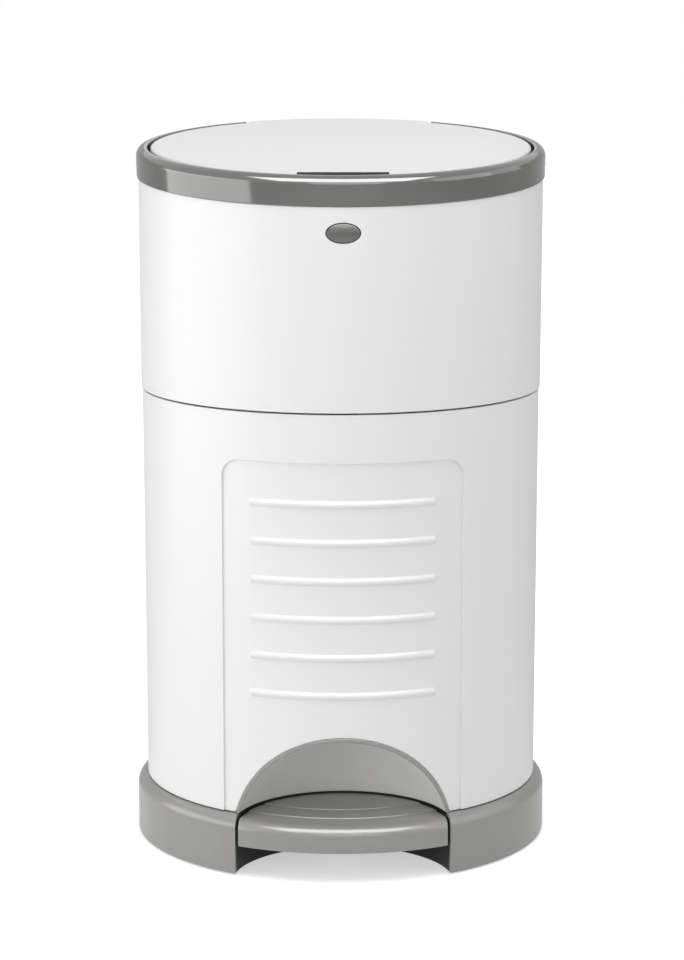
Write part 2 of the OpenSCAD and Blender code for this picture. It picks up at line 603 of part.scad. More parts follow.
// ---------- lid ----------
lid_a = [-45, -135, 30, 150];
lid_t = 2.5;
lid_under = rim_h - lid_t;
skirt_z = 9.3;
lid_edge = 1.5;
notch_y = 19.1 - rim_r;         // back of the finger notch
boss_r = 1.3;
module at_lid_screws() for (a = lid_a) rotate(a) translate([rim_r - 30.8, 0, 0]) children();
module at_crank_screws() for (x = [-13, 13]) translate([x, lid_c[0] - 17, 0]) children();
module at_plunger_screws() translate([0, -5, 0])
  for (a = [45:90:315]) rotate(a) translate([throat_r + 3, 0, 0]) children();
module lid() color(white) rim_frame() {
  difference() {
    union() {
      difference() {
        rotate_extrude($fn = fine) polygon(concat(
          [[0, lid_under], [lid_r - 2.4, lid_under], [lid_r - 2.4, skirt_z], [lid_r, skirt_z]],
          arc(lid_r - lid_edge, rim_h - lid_edge, lid_edge, 0, 90, 5), [[0, rim_h]]));
        box(-tongue_half, tongue_half, 60, rim_r + 7, 0, lid_under);
      }
      // hinge tongue, which carries the rim's rounded edge on round the back
      intersection() {
        rotate_extrude($fn = fine) polygon(concat([[100, skirt_z], [rim_r, skirt_z]],
          arc(rim_r - rim_round, rim_h - rim_round, rim_round, 0, 90, 12), [[100, rim_h]]));
        difference() {
          box(-tongue_half, tongue_half, 60, rim_r + 7, skirt_z, rim_h);
          intersection() {
            box(2.2 - tongue_half, tongue_half - 2.2, 60, rim_r + 7, 9, lid_under);
            cylinder(r = rim_r - 2.5, h = 30, $fn = fine);
          }
          box(-tongue_half - 3, tongue_half + 3, 60, lid_c[0] - 15, 0, lid_under);
        }
      }
      at_lid_screws() translate([0, 0, 8.5]) cylinder(r = 4, h = 7, $fn = 32);
      xrods(3.2, 20, 26, lid_c[0], lid_c[1]);
      boxes(20, 26, lid_c[0] - 3.2, lid_c[0] + 3.2, lid_c[1], lid_under + 0.2);
      boxes(10, 16, lid_c[0] - 20, lid_c[0] - 14, lid_c[1], lid_under + 0.2);
    }
    box(-notch_half, notch_half, -rim_r - 7, notch_y, 0, 30);
    at_lid_screws() translate([0, 0, 4]) cylinder(r = boss_r, h = 10, $fn = 24);
    at_crank_screws() translate([0, 0, 4]) cylinder(r = boss_r, h = 10, $fn = 24);
    xrod(pin_r + pin_fit, -40, 40, lid_c[0], lid_c[1]);
  }
}
module lid_inner() color(dark) rim_frame() difference() {
  union() {
    translate([0, 0, 6.5]) cylinder(r = lid_in_r, h = 2, $fn = fine);
    ring(lid_in_r, lid_in_r - 2.2, 8, lid_under);
    box(-notch_half, notch_half, notch_y - 1.5, notch_y, 7, rim_h - 0.2);
  }
  box(-notch_half, notch_half, -rim_r, notch_y - 1.5, 8.5, 30);
  box(-body_r, body_r, lid_c[0] - 26, body_r, 0, 30);
  at_lid_screws() translate([0, 0, 4]) cylinder(r = boss_r, h = 10, $fn = 24);
  at_plunger_screws() translate([0, 0, 4]) cylinder(r = boss_r, h = 10, $fn = 24);
}
module lid_screws() color(steel) rim_frame() at_lid_screws() {
  translate([0, 0, 5]) cylinder(r = 2 * boss_r, h = 1.5, $fn = 24);
  translate([0, 0, 6.4]) cylinder(r = boss_r, h = 7, $fn = 24);
}
module lid_hinge_pin() color(steel) xrod(pin_r, -33, 33, lid_y, lid_z);
// One arm of the crank, drawn as y and z from the lid's axis
module crank_arm() {
  cy = -crank_r * cos(crank_a);
  cz = -crank_r * sin(crank_a);
  difference() {
    union() {
      circle(r = 3.2, $fn = 40);
      translate([cy, cz]) circle(r = 3.4, $fn = 40);
      polygon([[0, 3.2], [0, -3.2], [cy + 2.2, cz - 2.6], [cy - 3.4, cz], [-14.6, 1.5], [-6, 2.4]]);
    }
    circle(r = pin_r + pin_fit, $fn = 40);
  }
}
arm_t = 3;
arm_x = 4.6;
module lid_crank() color(steel) {
  for (x = [-arm_x - arm_t, arm_x])
    translate([x, lid_y, lid_z]) rotate([90, 0, 90]) linear_extrude(height = arm_t) crank_arm();
  xrod(2, -arm_x - arm_t, arm_x + arm_t, lid_y - crank_r * cos(crank_a), lid_z - crank_r * sin(crank_a));
  rim_frame() difference() {
    union() {
      boxes(arm_x, 16, lid_c[0] - 20, lid_c[0] - 14, lid_c[1] - 2.7, lid_c[1]);
      box(-arm_x - arm_t, arm_x + arm_t, lid_c[0] - 20, lid_c[0] - 14, lid_c[1] - 2.7, lid_c[1]);
      boxes(arm_x, arm_x + arm_t, lid_c[0] - 16, lid_c[0] - 8, lid_c[1] - 2.7, lid_c[1] + 2.1);
    }
    at_crank_screws() translate([0, 0, 4]) cylinder(r = boss_r, h = 12, $fn = 24);
  }
}
module crank_screws() color(steel) rim_frame() at_crank_screws() {
  translate([0, 0, lid_c[1] - 4.1]) cylinder(r = 2.4, h = 1.4, $fn = 24);
  translate([0, 0, lid_c[1] - 2.8]) cylinder(r = boss_r, h = 5, $fn = 24);
}
// The plunger hangs from the lid and pushes down into the hopper
plunger_h = rim_z - throat_z - 18.9;
plunger_r = throat_r - 19;
skirt_t = 3;
module plunger() color(grey) rim_frame() difference() {
  translate([0, -5, 0]) rotate_extrude($fn = 96) polygon([[0, -plunger_h], [plunger_r, -plunger_h],
    [throat_r - 3, 4.3], [throat_r + 9, 4.3], [throat_r + 9, 6.5], [throat_r - 5.2, 6.5],
    [plunger_r - 2, 2.4 - plunger_h], [0, 2.4 - plunger_h]]);
  at_plunger_screws() cylinder(r = boss_r, h = 10, $fn = 24);
  translate([0, -5, -plunger_h - 6]) cylinder(r = 2, h = 20, $fn = 24);
}
module plunger_skirt() color(dark) rim_frame() translate([0, -5, -plunger_h]) difference() {
  rotate_extrude($fn = 96) polygon([[0, -skirt_t], [plunger_r, -skirt_t],
    [plunger_r + 7.4, -skirt_t - 1.6], [plunger_r + 8, -skirt_t - 0.8], [plunger_r - 1, 0], [0, 0]]);
  translate([0, 0, -6]) cylinder(r = 2, h = 20, $fn = 24);
}
module plunger_screws() color(steel) rim_frame() {
  at_plunger_screws() {
    translate([0, 0, 2.9]) cylinder(r = 2.4, h = 1.4, $fn = 24);
    translate([0, 0, 4.2]) cylinder(r = boss_r, h = 4.2, $fn = 24);
  }
  translate([0, -5, -plunger_h]) {
    translate([0, 0, -4.6]) cylinder(r = 4, h = 1.6, $fn = 24);
    translate([0, 0, -3.2]) cylinder(r = 2, h = 8, $fn = 24);
    translate([0, 0, 2.4]) cylinder(r = 3.6, h = 2.4, $fn = 6);
  }
}

// ---------- button and latch ----------
lever_t = 3;                    // thickness of the latch lever
lever_front = latch[0] - 1.5;   // its front face, which the button's stem meets
stem_r = 3;
button_proud = 0.8;             // how far the button's crown stands out of the body
module button() color(grey) translate([0, 0, button_z]) {
  intersection() {
    rotate([90, 0, 0]) linear_extrude(height = body_r + 10) polygon(oval(button_half, button_rise));
    translate([0, 57.8 - body_r, 0]) sphere(r = 60, $fn = 160);
    box(-20, 20, -body_r - 10, 3 - body_r, -20, 20);
  }
  intersection() {
    rotate([90, 0, 0]) linear_extrude(height = body_r + 10) polygon(oval(button_half + 2.6, button_rise + 2.6));
    box(-20, 20, 1.2 - body_r, 4 - body_r, -20, 20);
    translate([0, 0, -20]) cylinder(r = up_in - 0.05, h = 40, $fn = fine);
  }
  yrod(stem_r, 3.5 - body_r, lever_front - stem_r - 0.05, 0, 0);
  translate([0, lever_front - stem_r - 0.05, 0]) sphere(r = stem_r, $fn = 48);
}
module latch_lever() color(grey) difference() {
  union() {
    box(-8, 8, lever_front, lever_front + lever_t, seam_z - 13.6, button_z + 8);
    box(-8, 8, lever_front + 2.5, lever_front + 6.5, seam_z - 12.6, deck_z - 0.3);
    xrod(4, -8, 8, latch[0], latch[1]);
  }
  xrod(pin_r + pin_fit, -20, 20, latch[0], latch[1]);
}
module latch_pin() color(steel) xrod(pin_r, -ear_b, 17.5, latch[0], latch[1]);
// A coil on the pin; one leg lies on the lever, the other on the upper body's wall
module latch_spring() color(steel) {
  n = 4 * 12;
  coil_r = pin_r + 1.1;
  leg_y = -lever_t / 2 - 0.55;
  translate([0, latch[0], latch[1]]) wire(concat(
    [[14.6, -8.6, 12.6], [15.9, -2.9, 1.2]],
    [for (i = [0:n]) [15.8 - 3.8 * i / n, -coil_r * cos(30 * i), -coil_r * sin(30 * i)]],
    [[12, -coil_r, -4], [12, -2.4, -8], [11.2, leg_y, -11], [9, leg_y, -12], [3, leg_y, -12]]),
    0.5, 6, [1, 0.01, 0.02]);
}

// ---------- output ----------
base_ring();
base_plate();
base_screws();
rubber_feet();
toe_recess();
pedal();
pedal_screws();
pedal_lever();
pedal_pin();
pedal_spring();
lower_push_rod();
rod_channel();
lower_body();
refill_deck();
refill_cassette();
film_pack();
liner_bag();
cutter_holder();
cutter_blade();
top_hinge_pin();
upper_body();
hopper();
hopper_screws();
flap_left();
flap_right();
flap_pins();
flap_spring_left();
flap_spring_right();
upper_push_rod();
hinge_bracket();
rim_ring();
lid_seal();
lid();
lid_inner();
lid_screws();
lid_hinge_pin();
lid_crank();
crank_screws();
plunger();
plunger_skirt();
plunger_screws();
button();
latch_lever();
latch_pin();
latch_spring();
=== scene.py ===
"""Dresses the frame of a pedal nappy bin: satin white shells, grey trim, steel linkage, film refill."""

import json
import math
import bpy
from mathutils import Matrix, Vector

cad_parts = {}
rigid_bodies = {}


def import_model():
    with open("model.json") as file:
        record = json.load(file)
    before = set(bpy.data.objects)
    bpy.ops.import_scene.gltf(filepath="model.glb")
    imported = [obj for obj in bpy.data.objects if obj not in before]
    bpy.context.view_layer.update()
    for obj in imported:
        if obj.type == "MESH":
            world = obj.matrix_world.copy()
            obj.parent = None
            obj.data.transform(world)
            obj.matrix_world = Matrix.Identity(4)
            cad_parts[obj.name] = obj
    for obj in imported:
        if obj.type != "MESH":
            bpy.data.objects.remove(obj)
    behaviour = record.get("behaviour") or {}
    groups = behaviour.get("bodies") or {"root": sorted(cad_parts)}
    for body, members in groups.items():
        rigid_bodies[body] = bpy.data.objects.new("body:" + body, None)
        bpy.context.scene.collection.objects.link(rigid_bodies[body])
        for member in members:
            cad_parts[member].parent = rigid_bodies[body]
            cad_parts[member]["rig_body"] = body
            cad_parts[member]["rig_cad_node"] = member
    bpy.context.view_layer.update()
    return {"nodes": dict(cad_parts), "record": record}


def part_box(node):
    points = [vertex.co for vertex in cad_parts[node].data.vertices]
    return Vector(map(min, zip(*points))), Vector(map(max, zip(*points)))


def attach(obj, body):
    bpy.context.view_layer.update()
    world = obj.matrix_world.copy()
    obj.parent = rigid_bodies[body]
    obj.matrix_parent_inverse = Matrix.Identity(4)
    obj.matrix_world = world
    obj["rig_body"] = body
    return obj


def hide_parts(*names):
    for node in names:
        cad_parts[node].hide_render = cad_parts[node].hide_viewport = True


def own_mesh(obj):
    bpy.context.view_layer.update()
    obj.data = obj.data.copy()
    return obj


bl_info = {
    "name": "Nappy bin",
    "version": (1, 0, 0),
    "blender": (4, 5, 0),
    "location": "View3D > Sidebar > Nappy bin",
    "description": "Finishes the mouldings of a pedal nappy bin and sets up its studio",
    "category": "Object",
}

import bpy
from bpy.props import FloatProperty, FloatVectorProperty, PointerProperty
from bpy.types import Operator, Panel, PropertyGroup
from mathutils import Quaternion, Vector

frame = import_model()
NODES = frame["nodes"]
BODY_OF = {n: b for b, ns in frame["record"]["behaviour"]["bodies"].items() for n in ns}
MM = 0.001


# ---------- sizes and colours ----------
def colour(name, about, rgb):
    """A colour in the panel."""
    return FloatVectorProperty(
        name=name, description=about, default=rgb, size=3, min=0, max=1, subtype="COLOR"
    )


def length(name, about, value):
    """A short length in the panel, in metres."""
    return FloatProperty(
        name=name, description=about, default=value, min=0, max=0.1, unit="LENGTH", precision=5
    )


def share(name, about, value, top=1.0):
    """A plain factor in the panel, from 0 to its top."""
    return FloatProperty(
        name=name, description=about, default=value, min=0, max=top, subtype="FACTOR"
    )


def power(name, about, value):
    """The power of a soft box in the panel, in watts."""
    return FloatProperty(name=name, description=about, default=value, min=0, unit="POWER")


class BinColours(PropertyGroup):
    """The colours of the finishes"""

    shell: colour("Shell", "White of the body and lid", (0.77, 0.77, 0.765))
    trim: colour("Trim", "Warm grey of the base and pedal", (0.255, 0.251, 0.239))
    # The recess is the same grey moulding as the base. Its colour is painted much lighter, as painted
    # light for the light that falls into the toe recess.
    recess: colour("Recess", "Lighter grey of the toe recess", (0.75, 0.745, 0.72))
    rim: colour("Rim", "Darker grey of the rim and button", (0.086, 0.086, 0.08))
    # The inner black and the rubber black are the colours of black parts. On the base plate's wall in
    # the pedal notch, and on the seal's flat under the lid's finger notch, they also stand as painted
    # shade.
    inner: colour("Inner black", "Black of the inner mouldings", (0.012, 0.012, 0.012))
    rubber: colour("Rubber", "Black of the feet, seal and skirt", (0.016, 0.016, 0.017))
    steel: colour("Steel", "Zinc plated steel", (0.6, 0.61, 0.62))
    cassette: colour("Cassette", "Blue green of the refill ring", (0.3, 0.5, 0.56))
    film: colour("Film", "Milky polythene film", (0.84, 0.87, 0.88))


class BinSizes(PropertyGroup):
    """The roundings and small shapes that are made here"""

    shell_edge: length("Shell edge", "Rounding of the edges of the white shells", 0.0005)
    seam: length("Seam", "Dark gap between the white shell and the base", 0.0006)
    trim_edge: length("Trim edge", "Rounding of the edges of the grey mouldings", 0.0005)
    small_edge: length("Small edge", "Rounding of the edges of small inner pieces", 0.0003)
    film_wall: length("Film", "Thickness of the bag's film", 0.0003)
    crease: length("Creases", "Depth of the creases low down in the bag", 0.005)


class StudioSettings(PropertyGroup):
    """How bright the lamps, the card, the world and the floor are"""

    key: power("Key", "Power of the low, wide soft box on the left", 7.2)
    front: power("Front", "Power of the wide soft box behind the camera", 7.6)
    low_left: power("Low left", "Power of the low strip that lights the toe recess", 2.6)
    right: power("Right", "Power of the soft box on the right", 4.0)
    back_right: power("Back right", "Power of the soft box on the far right", 1.2)
    top: power("Top", "Power of the overhead soft box", 6.5)
    sheen: share("Sheen", "Brightness of the overhead card that only gloss sees", 8.0, 20)
    ambient: share("Ambient", "Even light from all round", 0.45, 4)
    floor_lift: share("Floor lift", "How far the floor is lifted towards white", 0.5)


def settings():
    """The colours, the sizes and the studio's settings."""
    scene = bpy.context.scene
    return scene.bin_colours, scene.bin_sizes, scene.bin_studio


# ---------- effect groups and materials ----------
def new_group(name, inputs, outputs):
    """An empty shader group with its named sockets, and its input and output nodes."""
    group = bpy.data.node_groups.new(name, "ShaderNodeTree")
    for label, kind, value in inputs:
        socket = group.interface.new_socket(name=label, in_out="INPUT", socket_type=kind)
        socket.default_value = value
    for label, kind in outputs:
        group.interface.new_socket(name=label, in_out="OUTPUT", socket_type=kind)
    return group, group.nodes.new("NodeGroupInput"), group.nodes.new("NodeGroupOutput")


def add(tree, kind, links=None, **values):
    """A node with its properties set; links maps input names or numbers to sockets or values."""
    node = tree.nodes.new(kind)
    for key, value in values.items():
        setattr(node, key, value)
    for key, source in (links or {}).items():
        if isinstance(source, bpy.types.NodeSocket):
            tree.links.new(source, node.inputs[key])
        else:
            node.inputs[key].default_value = source
    return node


FLOAT, COLOUR = "NodeSocketFloat", "NodeSocketColor"


def object_point(tree):
    """Where a point lies on its own piece, so that a finish moves with the piece."""
    return add(tree, "ShaderNodeTexCoord").outputs["Object"]


def reckoned(tree, operation, *values):
    """The result of one sum of sockets or numbers."""
    return add(tree, "ShaderNodeMath", dict(enumerate(values)), operation=operation).outputs[0]


def placed(tree, group, links):
    """A shader group set into a node tree."""
    return add(tree, "ShaderNodeGroup", links, node_tree=group)


def new_material(name):
    """A new material, its node tree and its Principled shader."""
    material = bpy.data.materials.new(name)
    material.use_nodes = True
    return material, material.node_tree, material.node_tree.nodes["Principled BSDF"]


def moulded_grain():
    """Fine spark-eroded grain, with slow drifts of tone and gloss as in a large moulding."""
    if "moulded grain" in bpy.data.node_groups:
        return bpy.data.node_groups["moulded grain"]
    group, given, result = new_group(
        "moulded grain",
        [("Color", COLOUR, (0.8, 0.8, 0.8, 1)), ("Roughness", FLOAT, 0.35),
         ("Gloss spread", FLOAT, 0.08), ("Tone spread", FLOAT, 0.03),
         ("Grain scale", FLOAT, 2600.0), ("Waves", FLOAT, 1.5)],
        [("Color", COLOUR), ("Roughness", FLOAT), ("Height", FLOAT)],
    )
    at = object_point(group)
    grain = add(group, "ShaderNodeTexNoise",
                {"Vector": at, "Scale": given.outputs["Grain scale"], "Detail": 2.0})
    drift = add(group, "ShaderNodeTexNoise", {"Vector": at, "Scale": 9.0, "Detail": 3.0})
    centred = reckoned(group, "SUBTRACT", drift.outputs["Fac"], 0.5)
    gloss = reckoned(group, "MULTIPLY_ADD", centred, given.outputs["Gloss spread"],
                     given.outputs["Roughness"])
    tone = reckoned(group, "MULTIPLY_ADD", centred, given.outputs["Tone spread"], 1.0)
    tinted = add(group, "ShaderNodeVectorMath", {0: given.outputs["Color"], "Scale": tone},
                 operation="SCALE")
    group.links.new(tinted.outputs[0], result.inputs["Color"])
    group.links.new(gloss, result.inputs["Roughness"])
    waves = add(group, "ShaderNodeTexNoise", {"Vector": at, "Scale": 16.0, "Detail": 0.0})
    height = reckoned(group, "MULTIPLY_ADD", waves.outputs["Fac"], given.outputs["Waves"],
                      grain.outputs["Fac"])
    group.links.new(height, result.inputs["Height"])
    return group


def scuffs():
    """Fine scratches in short strokes, where shoes and hands rub."""
    if "scuffs" in bpy.data.node_groups:
        return bpy.data.node_groups["scuffs"]
    group, given, result = new_group(
        "scuffs",
        [("Color", COLOUR, (0.3, 0.3, 0.3, 1)), ("Roughness", FLOAT, 0.35), ("Amount", FLOAT, 0.3)],
        [("Color", COLOUR), ("Roughness", FLOAT)],
    )
    at = object_point(group)
    stretched = add(group, "ShaderNodeMapping",
                    {"Vector": at, "Rotation": (0, 0, 0.6), "Scale": (60, 900, 300)})
    strokes = add(group, "ShaderNodeTexNoise",
                  {"Vector": stretched.outputs[0], "Scale": 1.0, "Detail": 4.0})
    where = add(group, "ShaderNodeTexNoise", {"Vector": at, "Scale": 30.0, "Detail": 2.0})
    both = reckoned(group, "MULTIPLY", strokes.outputs["Fac"], where.outputs["Fac"])
    mask = add(group, "ShaderNodeMapRange", {
        "Value": both, "From Min": 0.34, "From Max": 0.46, "To Max": given.outputs["Amount"],
    }).outputs[0]
    lighter = add(group, "ShaderNodeMix", {
        "Factor": mask, "A": given.outputs["Color"], "B": (0.6, 0.6, 0.58, 1),
    }, data_type="RGBA")
    rough = reckoned(group, "MULTIPLY_ADD", mask, 0.25, given.outputs["Roughness"])
    group.links.new(lighter.outputs[2], result.inputs["Color"])
    group.links.new(rough, result.inputs["Roughness"])
    return group


def grained(name, rgb, roughness, grain=2600.0, depth=0.01, strength=0.35,
            tone=0.03, spread=0.08, waves=1.5, worn=0.0, **shader):
    """A material with its grain, its slow drifts and, where it is handled, its scuffs."""
    if name in bpy.data.materials:
        return bpy.data.materials[name]
    material, tree, principled = new_material(name)
    surface = placed(tree, moulded_grain(), {
        "Color": (*rgb, 1), "Roughness": roughness, "Gloss spread": spread,
        "Tone spread": tone, "Grain scale": grain, "Waves": waves,
    })
    bump = add(tree, "ShaderNodeBump", {
        "Height": surface.outputs["Height"], "Strength": strength, "Distance": depth * MM,
    })
    seen = surface
    if worn:
        seen = placed(tree, scuffs(), {
            "Color": surface.outputs["Color"], "Roughness": surface.outputs["Roughness"],
            "Amount": worn,
        })
    tree.links.new(seen.outputs["Color"], principled.inputs["Base Color"])
    tree.links.new(seen.outputs["Roughness"], principled.inputs["Roughness"])
    tree.links.new(bump.outputs["Normal"], principled.inputs["Normal"])
    for key, value in shader.items():
        principled.inputs[key].default_value = value
    return material


def finish_of(kind):
    """The material of a finish, made the first time that it is asked for."""
    c = settings()[0]
    name, rgb, roughness, more = {
        "shell": ("satin white shell", c.shell, 0.34, dict(tone=0.012, spread=0.05, IOR=1.44)),
        "trim": ("satin grey trim", c.trim, 0.24, dict(tone=0.04, worn=0.05, IOR=1.7)),
        # The recess finish is a lit copy of the trim: its lighter grey is painted light.
        "recess": ("satin grey recess", c.recess, 0.36, dict(tone=0.04, worn=0.08)),
        "rim": ("glossy grey rim", c.rim, 0.1, dict(depth=0.006, spread=0.03, IOR=1.95)),
        "inner": ("matt black moulding", c.inner, 0.5, {}),
        "rubber": ("black rubber", c.rubber, 0.7, dict(depth=0.04)),
        "cassette": ("thin refill moulding", c.cassette, 0.4, {}),
        "film": ("milky film", c.film, 0.26, dict(grain=340.0, depth=0.3, spread=0.2, waves=4.0)),
        "steel": ("zinc plated steel", c.steel, 0.34,
                  dict(grain=700.0, depth=0.02, strength=0.2, tone=0.2, spread=0.25, Metallic=1.0)),
    }[kind]
    return grained(name, rgb, roughness, **more)


# ---------- shaping ----------
def only(*pieces):
    """Selects just these objects; the first one is active."""
    bpy.ops.object.select_all(action="DESELECT")
    for piece in pieces:
        piece.select_set(True)
    bpy.context.view_layer.objects.active = pieces[0]


def apply_all(piece):
    """Applies the modifiers of a piece, in their order."""
    only(piece)
    for modifier in [m.name for m in piece.modifiers]:
        bpy.ops.object.modifier_apply(modifier=modifier)


def copy_of(node):
    """A merged copy of a CAD node's mesh, off its body, with flat areas in one face."""
    only(NODES[node])
    bpy.ops.object.duplicate()
    piece = bpy.context.object
    piece.name = piece.data.name = node + "_finished"
    piece.parent = None
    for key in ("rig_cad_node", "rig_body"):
        del piece[key]
    piece.data.materials.clear()
    bpy.ops.object.mode_set(mode="EDIT")
    bpy.ops.mesh.select_all(action="SELECT")
    bpy.ops.mesh.remove_doubles(threshold=0.002 * MM)
    bpy.ops.mesh.dissolve_limited(angle_limit=math.radians(0.01))
    bpy.ops.object.mode_set(mode="OBJECT")
    if piece.data.has_custom_normals:
        bpy.ops.mesh.customdata_custom_splitnormals_clear()
    return piece


SHARP = math.radians(35)  # edges that turn by more are rounded, and shaded as edges


def soften(piece, width, clamped=False):
    """Rounds the sharp edges, and shades the roundings smooth and the flats flat."""
    if width:
        bevel = piece.modifiers.new("edges", "BEVEL")
        bevel.limit_method, bevel.angle_limit = "ANGLE", SHARP
        bevel.width, bevel.segments, bevel.use_clamp_overlap = width, 3, clamped
        apply_all(piece)
    only(piece)
    bpy.ops.object.shade_smooth_by_angle(angle=SHARP)
    weighted = piece.modifiers.new("flats", "WEIGHTED_NORMAL")
    weighted.keep_sharp = True
    apply_all(piece)
    return piece


def lofted(name, around, along, place):
    """A skin of around by along faces; place(turn, step) puts each point, in millimetres."""
    bpy.ops.object.select_all(action="DESELECT")
    bpy.ops.mesh.primitive_grid_add(x_subdivisions=around, y_subdivisions=along, size=1)
    piece = bpy.context.object
    piece.name = piece.data.name = name
    for vertex in piece.data.vertices:
        vertex.co = Vector(place(vertex.co.x + 0.5, vertex.co.y + 0.5)) * MM
    bpy.ops.object.mode_set(mode="EDIT")
    bpy.ops.mesh.select_all(action="SELECT")
    bpy.ops.mesh.remove_doubles(threshold=0.01 * MM)
    bpy.ops.mesh.normals_make_consistent(inside=False)
    bpy.ops.object.mode_set(mode="OBJECT")
    bpy.ops.object.shade_smooth()
    return piece


def along_path(points, step):
    """The point a share step of the way through a list of points, on a smooth curve."""
    at = min(step * (len(points) - 1), len(points) - 1.001)
    i, f = int(at), at - int(at)
    a, b, c, d = (points[min(max(i + k, 0), len(points) - 1)] for k in (-1, 0, 1, 2))
    return [0.5 * (2 * q + (r - p) * f + (2 * p - 5 * q + 4 * r - s) * f**2
                   + (3 * q - p - 3 * r + s) * f**3)
            for p, q, r, s in zip(a, b, c, d)]


def creases(turn, shift):
    """Uneven folds round a gathered bag, from -1 to 1."""
    a = 2 * math.pi * turn
    return (0.45 * math.sin(11 * a + 0.8 + shift) + 0.33 * math.sin(17 * a + 2.1)
            + 0.22 * math.sin(31 * a + 0.5 - shift))


def raise_foot(piece, rise):
    """Lifts the foot of a shell, which opens a dark seam over what it stands on."""
    foot = min(vertex.co.z for vertex in piece.data.vertices)
    only(piece)
    bpy.ops.object.mode_set(mode="EDIT")
    bpy.ops.mesh.select_all(action="DESELECT")
    bpy.ops.mesh.select_mode(type="VERT")
    bpy.ops.object.mode_set(mode="OBJECT")
    for vertex in piece.data.vertices:
        vertex.select = vertex.co.z < foot + 0.1 * MM
    bpy.ops.object.mode_set(mode="EDIT")
    bpy.ops.transform.translate(value=(0, 0, rise))
    bpy.ops.object.mode_set(mode="OBJECT")


LIP_INSET = 7.1 * MM  # the outer face of the recess's lip lies less than this inside the base


def paint_lip(piece, base_radius):
    """Gives the outer face of the toe recess's lip the grey of the base, so that the lip does not take
    the painted light of the recess's lighter grey.
    """
    piece.data.materials.append(finish_of("trim"))
    for face in piece.data.polygons:
        if face.center.xy.length > base_radius - LIP_INSET:
            face.material_index = 1


ROUND_HEAD = 12  # a screw's head has at least this many corners


def cross_recesses(piece, reach, width, depth):
    """Cuts a cross into the head of every screw of a piece; a head's outer face is its largest."""
    only(piece)
    bpy.ops.object.mode_set(mode="EDIT")
    bpy.ops.mesh.select_all(action="SELECT")
    bpy.ops.mesh.separate(type="LOOSE")
    bpy.ops.object.mode_set(mode="OBJECT")
    screws = list(bpy.context.selected_objects)
    for screw in screws:
        head = max(screw.data.polygons, key=lambda face: face.area)
        if len(head.vertices) < ROUND_HEAD:
            continue
        centre, facing = head.center.copy(), head.normal.to_track_quat("Z", "Y")
        for turn in (0, 90):
            turned = facing @ Quaternion((0, 0, 1), math.radians(turn))
            bpy.ops.object.select_all(action="DESELECT")
            bpy.ops.mesh.primitive_cube_add(size=1, location=centre, rotation=turned.to_euler(),
                                            scale=(reach, width, 2 * depth))
            cutter = bpy.context.object
            cut = screw.modifiers.new("cross", "BOOLEAN")
            cut.operation, cut.object, cut.solver = "DIFFERENCE", cutter, "EXACT"
            only(screw)
            bpy.ops.object.modifier_apply(modifier="cross")
            bpy.data.objects.remove(cutter)
    only(piece, *screws)
    bpy.ops.object.join()
    return piece


def dressed(piece, kind, *nodes):
    """Gives a piece its finish and its body, and hides the CAD nodes that it stands for."""
    piece.data.materials.clear()
    piece.data.materials.append(finish_of(kind))
    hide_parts(*nodes)
    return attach(piece, BODY_OF[nodes[0]])


def finished_copies(width, kinds, clamped=False):
    """Merged copies of CAD nodes with their edges rounded, each in its finish."""
    for node, kind in kinds.items():
        dressed(soften(copy_of(node), width, clamped), kind, node)


def finished_nodes(kinds):
    """CAD nodes whose own shape is right keep it, and only get their finish."""
    for node, kind in kinds.items():
        NODES[node].data.materials.clear()
        NODES[node].data.materials.append(finish_of(kind))


# ---------- operators ----------
class NAPPYBIN_OT_shells(Operator):
    """Finishes the white upper and lower shells"""

    bl_idname = "nappybin.shells"
    bl_label = "Shells"

    def execute(self, context):
        sizes = settings()[1]
        lower = copy_of("lower_body")
        raise_foot(lower, sizes.seam)
        dressed(soften(lower, sizes.shell_edge), "shell", "lower_body")
        finished_copies(sizes.shell_edge, {"upper_body": "shell"})
        return {"FINISHED"}


class NAPPYBIN_OT_lid(Operator):
    """Finishes the lid, its black inner and the grey rim round it"""

    bl_idname = "nappybin.lid"
    bl_label = "Lid and rim"

    def execute(self, context):
        finished_copies(settings()[1].shell_edge,
                        {"lid": "shell", "rim_ring": "rim", "lid_inner": "inner"})
        return {"FINISHED"}


class NAPPYBIN_OT_base(Operator):
    """Finishes the grey base, the toe recess and the pedal"""

    bl_idname = "nappybin.base"
    bl_label = "Base and pedal"

    def execute(self, context):
        sizes = settings()[1]
        finished_copies(sizes.trim_edge, {"base_ring": "trim"})
        finished_copies(sizes.trim_edge, {"pedal": "trim"}, clamped=True)
        # The recess gets its lighter grey as painted light, and the outer face of its lip keeps the
        # base's real grey.
        recess = soften(copy_of("toe_recess"), sizes.trim_edge)
        recess = dressed(recess, "recess", "toe_recess")
        paint_lip(recess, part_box("base_ring")[1].x)
        return {"FINISHED"}


